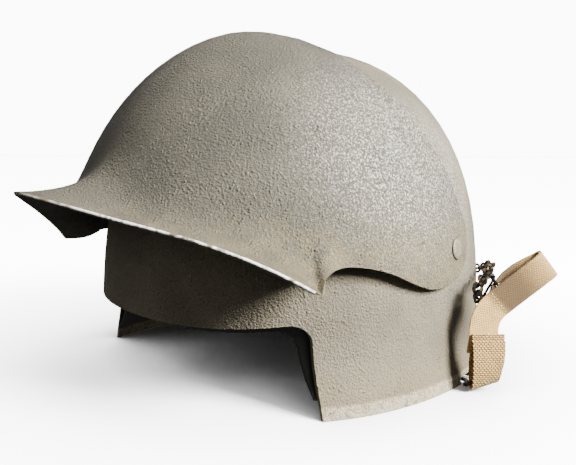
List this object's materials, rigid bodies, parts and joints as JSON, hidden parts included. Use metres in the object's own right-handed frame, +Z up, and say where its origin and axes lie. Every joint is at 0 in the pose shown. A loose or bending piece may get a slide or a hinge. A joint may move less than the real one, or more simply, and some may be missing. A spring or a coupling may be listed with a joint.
{
  "type": "military helmet",
  "caption": "Two-plate steel helmet: a bowl with a skirt and face opening, a pivoting front plate with a flared brim, an inner shell and a webbing strap with a chain.",
  "frame": {"origin": "a point of the rim's plane inside the head opening, on the helmet's middle plane", "axes": "+Z up from the rim's plane, -Y the way the wearer faces, +X the wearer's left"},
  "size_m": [0.2871, 0.3291, 0.2059],
  "materials": {
    "grit_paint": "matt sanded paint",
    "plate_grit_paint": "matt sanded paint, worn at the edges",
    "liner_paint": "dark paint",
    "rivet_paint": "smooth paint",
    "black_steel": "black with worn brassy high spots",
    "coarse_webbing": "coarse cotton webbing",
    "fine_webbing": "fine cotton webbing"
  },
  "bodies": {
    "shell": {"back_strap": "fine_webbing", "bail_clip_left": "black_steel", "bail_clip_right": "black_steel", "bail_left": "black_steel", "bail_right": "black_steel", "bowl": "grit_paint", "chain_keeper": "black_steel", "chain_link_01": "black_steel", "chain_link_02": "black_steel", "chain_link_03": "black_steel", "chain_link_04": "black_steel", "chain_link_05": "black_steel", "chain_link_06": "black_steel", "chain_link_07": "black_steel", "chain_link_08": "black_steel", "chain_link_09": "black_steel", "chain_link_10": "black_steel", "chain_link_11": "black_steel", "chain_link_12": "black_steel", "chain_link_13": "black_steel", "chain_link_14": "black_steel", "chain_link_15": "black_steel", "chain_link_16": "black_steel", "chain_link_17": "black_steel", "chain_link_18": "black_steel", "chain_link_19": "black_steel", "chain_ring": "black_steel", "inner_shell": "liner_paint", "pull_strap": "fine_webbing", "strap_frame": "black_steel", "tab_left": "coarse_webbing", "tab_right": "coarse_webbing"},
    "visor": {"front_plate": "plate_grit_paint", "rivet_left": "rivet_paint", "rivet_right": "rivet_paint"}
  },
  "joints": [
    {"name": "plate_pivot", "type": "hinge", "parent": "shell", "child": "visor", "pos_m": [0, 0.0584, 0.0788], "axis": [-1, 0, 0], "range_deg": [0, 30]}
  ]
}
